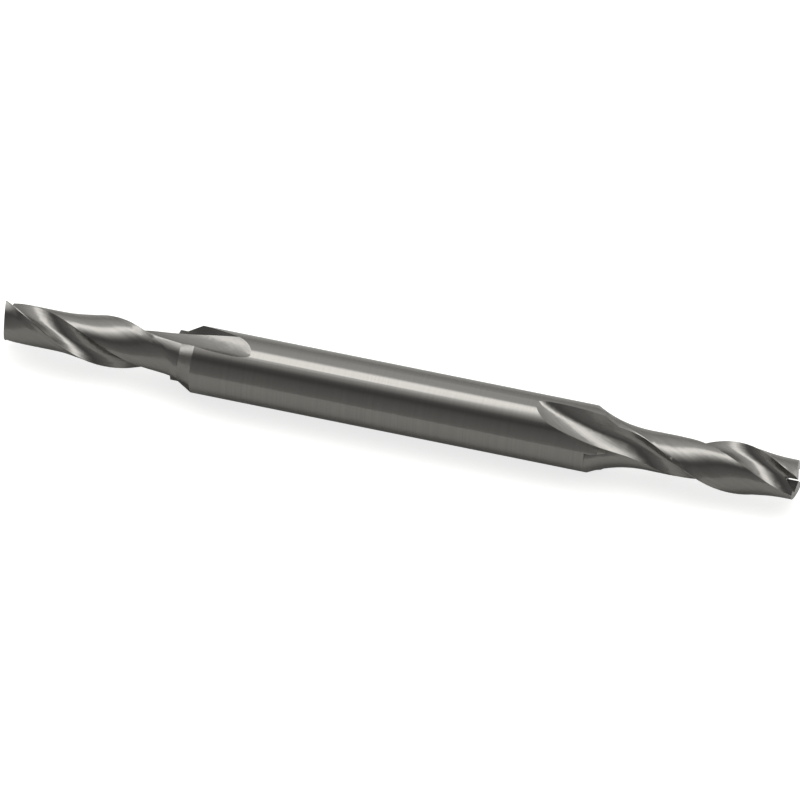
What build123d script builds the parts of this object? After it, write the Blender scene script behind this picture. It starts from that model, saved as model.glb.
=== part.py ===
"""Double-end two-flute square end mill, one piece of ground high-speed steel. Millimetres, axis along X."""

import os
from math import cos, pi, radians, sin, sqrt, tan

from build123d import *
from build123d.topology.shape_core import SkipClean

# Blank
overall_length = 57.15
shank_diameter = 4.7625
cutter_diameter = 3.572
full_shank_start = 13.95
grip_length = 20.0
shoulder_angle = 30.0

# Flutes
helix_angle = 30.0
left_length_of_cut = 10.3
right_length_of_cut = 11.2
web_diameter = 1.95
rake_angle = 12.0
flute_opening = 66.0
flute_bottom_angle = 27.72
heel_lean = 32.0
heel_wall_lean = 4.0
runout_wheel_radius = 22.0
runout_twist = 0.3
runout_spread = 1.4
left_clocking = 77.0
right_clocking = 124.0

# Lands: a flat behind the edge, then the cleared back of the tooth
margin_span = 2.0
land_span = 19.0
heel_overlap = 9.0
land_back_radius = 1.63
body_diameter = 2.76
body_start_angle = 52.0
back_bulge = 0.05
relief_wheel_radius = 7.5

# End teeth
dish_angle = 2.0
end_relief_angle = 9.0
gash_angle = 40.0
gash_depth = 0.95
gash_past_centre = 0.12
gash_behind_edge = 0.03

# How far the cutting bodies reach past what they cut, and how far they lift clear at their run-outs
overcut = 0.6
runout_clearance = 0.15
relief_clearance = 0.25

tip_x = overall_length / 2
shank_radius = shank_diameter / 2
cutter_radius = cutter_diameter / 2
web_radius = web_diameter / 2
body_radius = body_diameter / 2
shoulder_length = (shank_radius - cutter_radius) / tan(radians(shoulder_angle))
helix_lead = pi * cutter_diameter / tan(radians(helix_angle))
degrees_per_mm = 360 / helix_lead
outer_reach = shank_radius + overcut
teeth = 2
section_step = 1.6


def polar(radius, angle):
    """Point at an angle about the axis, in the plane square to it."""
    return Vector(radius * cos(radians(angle)), radius * sin(radians(angle)))


def direction(angle):
    return polar(1.0, angle)


def blank():
    """Turned blank: shank, shoulder cones and the two cutter diameters."""
    cone_end = tip_x - full_shank_start
    cone_start = cone_end + shoulder_length
    half = [(cone_end, shank_radius), (cone_start, cutter_radius), (tip_x, cutter_radius)]
    grip = [(-grip_length / 2, shank_radius), (grip_length / 2, shank_radius)]
    other = [(-x, r) for x, r in reversed(half)]
    outline = Polyline((-tip_x, 0), *other, *grip, *half, (tip_x, 0), close=True)
    return revolve(make_face(outline), Axis.X)


def flute_wire():
    """Flute section about its rake edge at angle 0: hooked face, round bottom and open heel."""
    edge = polar(cutter_radius, 0)
    heel = polar(body_radius, flute_opening)
    bottom = polar(web_radius, flute_bottom_angle)
    face = direction(180 - rake_angle)
    heel_way = direction(flute_opening + heel_lean)
    edge_out = edge - face * (outer_reach - cutter_radius + overcut)
    heel_out = heel + direction(flute_opening + heel_wall_lean) * (outer_reach - body_radius + overcut)
    crown = polar(outer_reach + 2 * overcut, flute_opening * 0.55)
    floor_way = direction(flute_bottom_angle + 90)
    bottom_curve = Spline(edge, bottom, heel, tangents=(face, floor_way, heel_way))
    return Wire([
        Line(edge_out, edge).edge(),
        bottom_curve.edge(),
        Line(heel, heel_out).edge(),
        ThreePointArc(heel_out, crown, edge_out).edge(),
    ])


def relief_wire():
    """Section ground off behind the edge: the land flat, then the cleared back down to the heel."""
    edge = polar(cutter_radius, -margin_span)
    land_end = polar(land_back_radius, -land_span)
    heel_angle = flute_opening - 180 - heel_overlap
    back_middle = polar(body_radius + back_bulge * 0.4, (-body_start_angle + heel_angle) / 2)
    heel = polar(body_radius, heel_angle)
    heel_out = polar(outer_reach, heel_angle + 2)
    edge_out = polar(outer_reach, -margin_span)
    crown = polar(outer_reach + overcut, heel_angle / 2)
    back_start = polar(body_radius + back_bulge, -body_start_angle)
    back = Spline(land_end, back_start, back_middle, heel)
    return Wire([
        Line(edge_out, edge).edge(),
        Line(edge, land_end).edge(),
        back.edge(),
        Line(heel, heel_out).edge(),
        ThreePointArc(heel_out, crown, edge_out).edge(),
    ])


def helical_cut(wire, floor_radius, lift_way, lift_start, wheel_radius, lift_height, spread=1.0):
    """Lofts a section along the helix from the tip, then lifts it out along the wheel's arc.

    Past the length of cut the wheel runs on straighter than the helix, and its cut opens out."""
    lift_length = sqrt(2 * wheel_radius * lift_height - lift_height * lift_height)
    total = lift_start + lift_length + overcut
    count = int(total / section_step) + 2
    sections = []
    for index in range(count):
        depth = -overcut + (total + overcut) * index / (count - 1)
        past = max(0.0, depth - lift_start)
        size = 1 + (spread - 1) * past / (total - lift_start)
        lift = wheel_radius - sqrt(wheel_radius * wheel_radius - past * past) - (size - 1) * floor_radius
        section = wire.scale(size).moved(Location(lift_way * lift))
        turn = (depth - past + past * runout_twist) * degrees_per_mm
        turned = section.moved(Location((0, 0, 0), (0, 0, -turn)))
        place = Plane(origin=(tip_x - depth, 0, 0), x_dir=(0, 1, 0), z_dir=(1, 0, 0))
        sections.append(place.from_local_coords(turned))
    return Solid.make_loft(sections)


def flute_cut(length_of_cut):
    way = direction(flute_opening * 0.5)
    height = shank_radius - web_radius + runout_clearance
    wheel = runout_wheel_radius
    return helical_cut(flute_wire(), web_radius, way, length_of_cut, wheel, height, runout_spread)


def relief_cut(length_of_cut):
    way = direction((flute_opening - 180) * 0.5)
    height = cutter_radius - body_radius + relief_clearance
    return helical_cut(relief_wire(), body_radius, way, length_of_cut, relief_wheel_radius, height)


def end_relief_cut():
    """Slopes the end away behind its cutting edge, and dishes it towards the axis."""
    fall = outer_reach * tan(radians(end_relief_angle))
    side = Polyline((0, 0), (-outer_reach, -fall), (-outer_reach, overcut), (0, overcut), close=True)
    wedge = extrude(Plane.YZ * make_face(side), 2 * outer_reach)
    wedge = wedge.moved(Location((-2 * outer_reach, 0, 0))).rotate(Axis.Y, -dish_angle)
    return on_tip(wedge.moved(Location((cutter_radius, 0, 0))))


def gash_cut():
    """Notch ahead of an end edge, from the flute to just past the axis."""
    rise = outer_reach * tan(radians(gash_angle))
    back = -gash_behind_edge
    floor = [(back, -gash_depth), (outer_reach, rise - gash_depth)]
    side = Polyline(*floor, (outer_reach, rise), (back, rise), close=True)
    wedge = extrude(Plane.YZ * make_face(side), outer_reach + gash_past_centre)
    return on_tip(wedge.moved(Location((-gash_past_centre, 0, 0))))


def on_tip(cut):
    """Stands a cut drawn with +Z off the end onto the tip at +X, with its edge at angle 0."""
    upright = Plane(origin=(tip_x, 0, 0), x_dir=(0, 1, 0), z_dir=(1, 0, 0))
    return upright.location * cut


def at_right_end(cut, clocking):
    """Repeats a cut for each tooth of the end that points along +X."""
    return [cut.rotate(Axis.X, clocking + 360 * tooth / teeth) for tooth in range(teeth)]


def at_left_end(cut, clocking):
    """The same cut on the other end: the tool is turned end for end, which keeps the hand."""
    turned = cut.rotate(Axis.Z, 180)
    return [turned.rotate(Axis.X, clocking + 360 * tooth / teeth) for tooth in range(teeth)]


def both_ends(right_cut, left_cut):
    return at_right_end(right_cut, right_clocking) + at_left_end(left_cut, left_clocking)


def end_mill():
    flutes = both_ends(flute_cut(right_length_of_cut), flute_cut(left_length_of_cut))
    reliefs = both_ends(relief_cut(right_length_of_cut), relief_cut(left_length_of_cut))
    end_reliefs = both_ends(end_relief_cut(), end_relief_cut())
    gashes = both_ends(gash_cut(), gash_cut())
    with SkipClean():
        tool = blank() - (flutes + reliefs)
        for cut in end_reliefs + gashes:
            tool = tool - cut
    return tool


def main():
    os.makedirs("parts", exist_ok=True)
    tool = end_mill()
    print("solids", len(tool.solids()), "volume", tool.volume)
    export_step(tool.solid(), "parts/end_mill.step")


main()
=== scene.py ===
import math

import bmesh
import bpy
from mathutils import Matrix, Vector


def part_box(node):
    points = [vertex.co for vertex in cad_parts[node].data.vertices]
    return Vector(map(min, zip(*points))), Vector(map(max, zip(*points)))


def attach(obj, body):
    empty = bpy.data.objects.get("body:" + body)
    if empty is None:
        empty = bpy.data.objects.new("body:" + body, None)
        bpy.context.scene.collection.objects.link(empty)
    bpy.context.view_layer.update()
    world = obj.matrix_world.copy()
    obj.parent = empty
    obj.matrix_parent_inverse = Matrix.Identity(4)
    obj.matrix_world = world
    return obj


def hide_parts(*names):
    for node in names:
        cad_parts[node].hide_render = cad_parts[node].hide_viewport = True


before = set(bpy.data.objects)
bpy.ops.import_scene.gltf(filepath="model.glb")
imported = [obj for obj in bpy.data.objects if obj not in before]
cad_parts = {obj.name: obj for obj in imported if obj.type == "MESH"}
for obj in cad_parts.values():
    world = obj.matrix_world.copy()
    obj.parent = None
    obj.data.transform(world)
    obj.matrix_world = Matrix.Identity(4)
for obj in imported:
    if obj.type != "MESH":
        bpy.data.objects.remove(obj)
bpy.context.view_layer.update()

mm = 0.001
toolLow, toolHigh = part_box("end_mill")
shankRadius = toolHigh[2]
print("frame loaded, shank radius mm", round(shankRadius / mm, 4))


def toLinear(hexColour):
    channels = [int(hexColour[i:i + 2], 16) / 255 for i in (1, 3, 5)]
    linear = [c / 12.92 if c <= 0.04045 else ((c + 0.055) / 1.055) ** 2.4 for c in channels]
    return (*linear, 1.0)


def addNode(tree, kind, settings=None, links=None):
    node = tree.nodes.new(kind)
    for name, value in (settings or {}).items():
        if isinstance(name, int) or name in node.inputs:
            node.inputs[name].default_value = value
        else:
            setattr(node, name, value)
    for name, source in (links or {}).items():
        tree.links.new(source, node.inputs[name])
    return node


def newMaterial(name):
    material = bpy.data.materials.new(name)
    material.use_nodes = True
    material.node_tree.nodes.clear()
    return material


toolSteel = {
    "colour": "#8E8C88",
    "shankRoughness": 0.17,
    "fluteRoughness": 0.24,
    "grindSpacing": 0.09 * mm,  # real grinding marks are about 0.01 mm apart, drawn coarser so that they show
    "grindHeight": 0.0008 * mm,
    "fluteSpacing": 0.12 * mm,
    "fluteHeight": 0.004 * mm,
    "shankLineLength": 60,  # in line spacings
    "fluteLineLength": 25,
    "shankFrom": 0.985,  # share of the shank's radius where its own finish begins and is whole
    "shankWhole": 0.995,
    "helixLead": 19.44 * mm,
    "shade": 0.07,
}


def groundHighSpeedSteel():
    # high-speed steel, ground all over: a dark warm grey mirror with fine lines round the shank
    # and along the flutes, which blur its reflections a little
    look = toolSteel
    material = newMaterial("groundHighSpeedSteel")
    tree = material.node_tree
    place = addNode(tree, "ShaderNodeTexCoord")
    split = addNode(tree, "ShaderNodeSeparateXYZ", links={0: place.outputs["Object"]})
    squareY = addNode(tree, "ShaderNodeMath", {"operation": "MULTIPLY"}, {0: split.outputs["Y"], 1: split.outputs["Y"]})
    squareSum = addNode(tree, "ShaderNodeMath", {"operation": "MULTIPLY_ADD"},
                        {0: split.outputs["Z"], 1: split.outputs["Z"], 2: squareY.outputs[0]})
    radius = addNode(tree, "ShaderNodeMath", {"operation": "SQRT"}, {0: squareSum.outputs[0]})
    onShank = addNode(tree, "ShaderNodeMapRange",
                      {"From Min": shankRadius * look["shankFrom"], "From Max": shankRadius * look["shankWhole"]},
                      {"Value": radius.outputs[0]})
    # lines round the shank: a noise that only changes along the axis
    along = addNode(tree, "ShaderNodeMath", {"operation": "DIVIDE", 1: look["grindSpacing"]}, {0: split.outputs["X"]})
    shankLength = look["grindSpacing"] * look["shankLineLength"]
    around = addNode(tree, "ShaderNodeMath", {"operation": "DIVIDE", 1: shankLength}, {0: split.outputs["Y"]})
    shankPlace = addNode(tree, "ShaderNodeCombineXYZ", links={"X": along.outputs[0], "Y": around.outputs[0]})
    shankLines = addNode(tree, "ShaderNodeTexNoise", {"Scale": 1.0, "Detail": 3.0, "Roughness": 0.6},
                         {"Vector": shankPlace.outputs[0]})
    # lines along the flutes: the same, unwound from the helix
    turn = addNode(tree, "ShaderNodeMath", {"operation": "ARCTAN2"}, {0: split.outputs["Z"], 1: split.outputs["Y"]})
    twist = addNode(tree, "ShaderNodeMath", {"operation": "MULTIPLY", 1: -2 * math.pi / look["helixLead"]},
                    {0: split.outputs["X"]})
    unwound = addNode(tree, "ShaderNodeMath", {"operation": "ADD"}, {0: turn.outputs[0], 1: twist.outputs[0]})
    sine = addNode(tree, "ShaderNodeMath", {"operation": "SINE"}, {0: unwound.outputs[0]})
    cosine = addNode(tree, "ShaderNodeMath", {"operation": "COSINE"}, {0: unwound.outputs[0]})
    reach = addNode(tree, "ShaderNodeMath", {"operation": "DIVIDE", 1: look["fluteSpacing"]}, {0: radius.outputs[0]})
    fluteY = addNode(tree, "ShaderNodeMath", {"operation": "MULTIPLY"}, {0: sine.outputs[0], 1: reach.outputs[0]})
    fluteZ = addNode(tree, "ShaderNodeMath", {"operation": "MULTIPLY"}, {0: cosine.outputs[0], 1: reach.outputs[0]})
    fluteLength = look["fluteSpacing"] * look["fluteLineLength"]
    fluteX = addNode(tree, "ShaderNodeMath", {"operation": "DIVIDE", 1: fluteLength}, {0: split.outputs["X"]})
    flutePlace = addNode(tree, "ShaderNodeCombineXYZ",
                         links={"X": fluteX.outputs[0], "Y": fluteY.outputs[0], "Z": fluteZ.outputs[0]})
    fluteLines = addNode(tree, "ShaderNodeTexNoise", {"Scale": 1.0, "Detail": 3.0, "Roughness": 0.6},
                         {"Vector": flutePlace.outputs[0]})
    lines = addNode(tree, "ShaderNodeMix", {"data_type": "FLOAT"},
                    {0: onShank.outputs[0], 2: fluteLines.outputs[0], 3: shankLines.outputs[0]})
    roughness = addNode(tree, "ShaderNodeMix", {"data_type": "FLOAT", 2: look["fluteRoughness"], 3: look["shankRoughness"]},
                        {0: onShank.outputs[0]})
    height = addNode(tree, "ShaderNodeMix", {"data_type": "FLOAT", 2: look["fluteHeight"], 3: look["grindHeight"]},
                     {0: onShank.outputs[0]})
    bump = addNode(tree, "ShaderNodeBump", {"Strength": 1.0}, {"Height": lines.outputs[0], "Distance": height.outputs[0]})
    shadeRange = addNode(tree, "ShaderNodeMapRange",
                         {"From Min": 0.3, "From Max": 0.7, "To Min": 1 - look["shade"], "To Max": 1 + look["shade"]},
                         {"Value": lines.outputs[0]})
    colour = addNode(tree, "ShaderNodeVectorMath", {"operation": "SCALE", 0: toLinear(look["colour"])[:3]},
                     {"Scale": shadeRange.outputs[0]})
    steel = addNode(tree, "ShaderNodeBsdfPrincipled", {"Metallic": 1.0},
                    {"Base Color": colour.outputs[0], "Roughness": roughness.outputs[0], "Normal": bump.outputs[0]})
    addNode(tree, "ShaderNodeOutputMaterial", links={"Surface": steel.outputs[0]})
    return material


smoothing = {"mergeDistance": 0.0005 * mm, "sharpAngle": math.radians(24)}


def groundTool():
    # the frame's own mesh, merged and shaded smooth up to its ground edges
    mesh = bmesh.new()
    mesh.from_mesh(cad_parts["end_mill"].data)
    bmesh.ops.remove_doubles(mesh, verts=mesh.verts, dist=smoothing["mergeDistance"])
    for face in mesh.faces:
        face.smooth = True
    for edge in mesh.edges:
        edge.smooth = len(edge.link_faces) == 2 and edge.calc_face_angle() < smoothing["sharpAngle"]
    data = bpy.data.meshes.new("groundEndMill")
    mesh.to_mesh(data)
    mesh.free()
    piece = bpy.data.objects.new("groundEndMill", data)
    bpy.context.scene.collection.objects.link(piece)
    data.materials.append(groundHighSpeedSteel())
    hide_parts("end_mill")
    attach(piece, "root")
    return piece


groundTool()
print("end mill dressed")

floorLook = {"colour": "#BCBCB9", "size": 1.6, "cameraLift": 0.75, "reflectedLift": 0.07}


def paperFloor():
    # matt white paper, lifted to white for the camera so that only the tool's own shadow shows
    material = newMaterial("mattWhitePaper")
    tree = material.node_tree
    path = addNode(tree, "ShaderNodeLightPath")
    paper = addNode(tree, "ShaderNodeBsdfDiffuse", {"Color": toLinear(floorLook["colour"])})
    mirrored = addNode(tree, "ShaderNodeMath", {"operation": "ADD"},
                       {0: path.outputs["Is Glossy Ray"], 1: path.outputs["Is Transmission Ray"]})
    mirroredLift = addNode(tree, "ShaderNodeMath", {"operation": "MULTIPLY", 1: floorLook["reflectedLift"]},
                           {0: mirrored.outputs[0]})
    lift = addNode(tree, "ShaderNodeMath", {"operation": "MULTIPLY_ADD", 1: floorLook["cameraLift"]},
                   {0: path.outputs["Is Camera Ray"], 2: mirroredLift.outputs[0]})
    glow = addNode(tree, "ShaderNodeEmission", {"Color": (1, 1, 1, 1)}, {"Strength": lift.outputs[0]})
    both = addNode(tree, "ShaderNodeAddShader", links={0: paper.outputs[0], 1: glow.outputs[0]})
    addNode(tree, "ShaderNodeOutputMaterial", links={"Surface": both.outputs[0]})
    mesh = bmesh.new()
    bmesh.ops.create_grid(mesh, x_segments=1, y_segments=1, size=floorLook["size"] / 2)
    bmesh.ops.translate(mesh, verts=mesh.verts, vec=(0, 0, toolLow[2]))
    data = bpy.data.meshes.new("paperFloor")
    mesh.to_mesh(data)
    mesh.free()
    data.materials.append(material)
    floor = bpy.data.objects.new("paperFloor", data)
    bpy.context.scene.collection.objects.link(floor)


paperFloor()

# the light tent: angle from overhead in degrees, front positive, with the brightness met there
tent = {"stops": [(-90, 0.45), (-50, 0.90), (-34, 0.85), (-28, 2.7), (-13, 2.7), (-4, 1.6), (9, 0.7), (24, 0.17),
                  (38, 0.12), (52, 0.22), (72, 0.28), (90, 0.35)], "peak": 2.7}


def lightTent():
    world = bpy.data.worlds.new("lightTent")
    bpy.context.scene.world = world
    world.use_nodes = True
    tree = world.node_tree
    tree.nodes.clear()
    way = addNode(tree, "ShaderNodeTexCoord")
    split = addNode(tree, "ShaderNodeSeparateXYZ", links={0: way.outputs["Generated"]})
    front = addNode(tree, "ShaderNodeMath", {"operation": "MULTIPLY", 1: -1.0}, {0: split.outputs["Y"]})
    angle = addNode(tree, "ShaderNodeMath", {"operation": "ARCTAN2"}, {0: front.outputs[0], 1: split.outputs["Z"]})
    share = addNode(tree, "ShaderNodeMapRange", {"From Min": -math.pi / 2, "From Max": math.pi / 2},
                    {"Value": angle.outputs[0]})
    ramp = addNode(tree, "ShaderNodeValToRGB", links={0: share.outputs[0]})
    stops = ramp.color_ramp.elements
    for index, (degrees, level) in enumerate(tent["stops"]):
        position = (degrees + 90) / 180
        stop = stops[index] if index < 2 else stops.new(position)
        stop.position = position
        value = level / tent["peak"]
        stop.color = (value, value, value, 1)
    glow = addNode(tree, "ShaderNodeBackground", {"Strength": tent["peak"]}, {"Color": ramp.outputs[0]})
    addNode(tree, "ShaderNodeOutputWorld", links={"Surface": glow.outputs[0]})


lightTent()
print("light tent up")

view = {"azimuth": 14.5, "elevation": 51.3, "distance": 0.774, "lens": 500.0}


def photoCamera():
    azimuth, elevation = math.radians(view["azimuth"]), math.radians(view["elevation"])
    way = Vector((math.sin(azimuth) * math.cos(elevation), -math.cos(azimuth) * math.cos(elevation), math.sin(elevation)))
    data = bpy.data.cameras.new("photoCamera")
    data.lens = view["lens"]
    data.sensor_width = 36
    data.clip_start, data.clip_end = 0.01, 20
    camera = bpy.data.objects.new("photoCamera", data)
    camera.location = way * view["distance"]
    camera.rotation_euler = (-way).to_track_quat("-Z", "Y").to_euler()
    bpy.context.scene.collection.objects.link(camera)
    bpy.context.scene.camera = camera


photoCamera()
bpy.context.scene.view_settings.view_transform = "Standard"

print("scene finished")
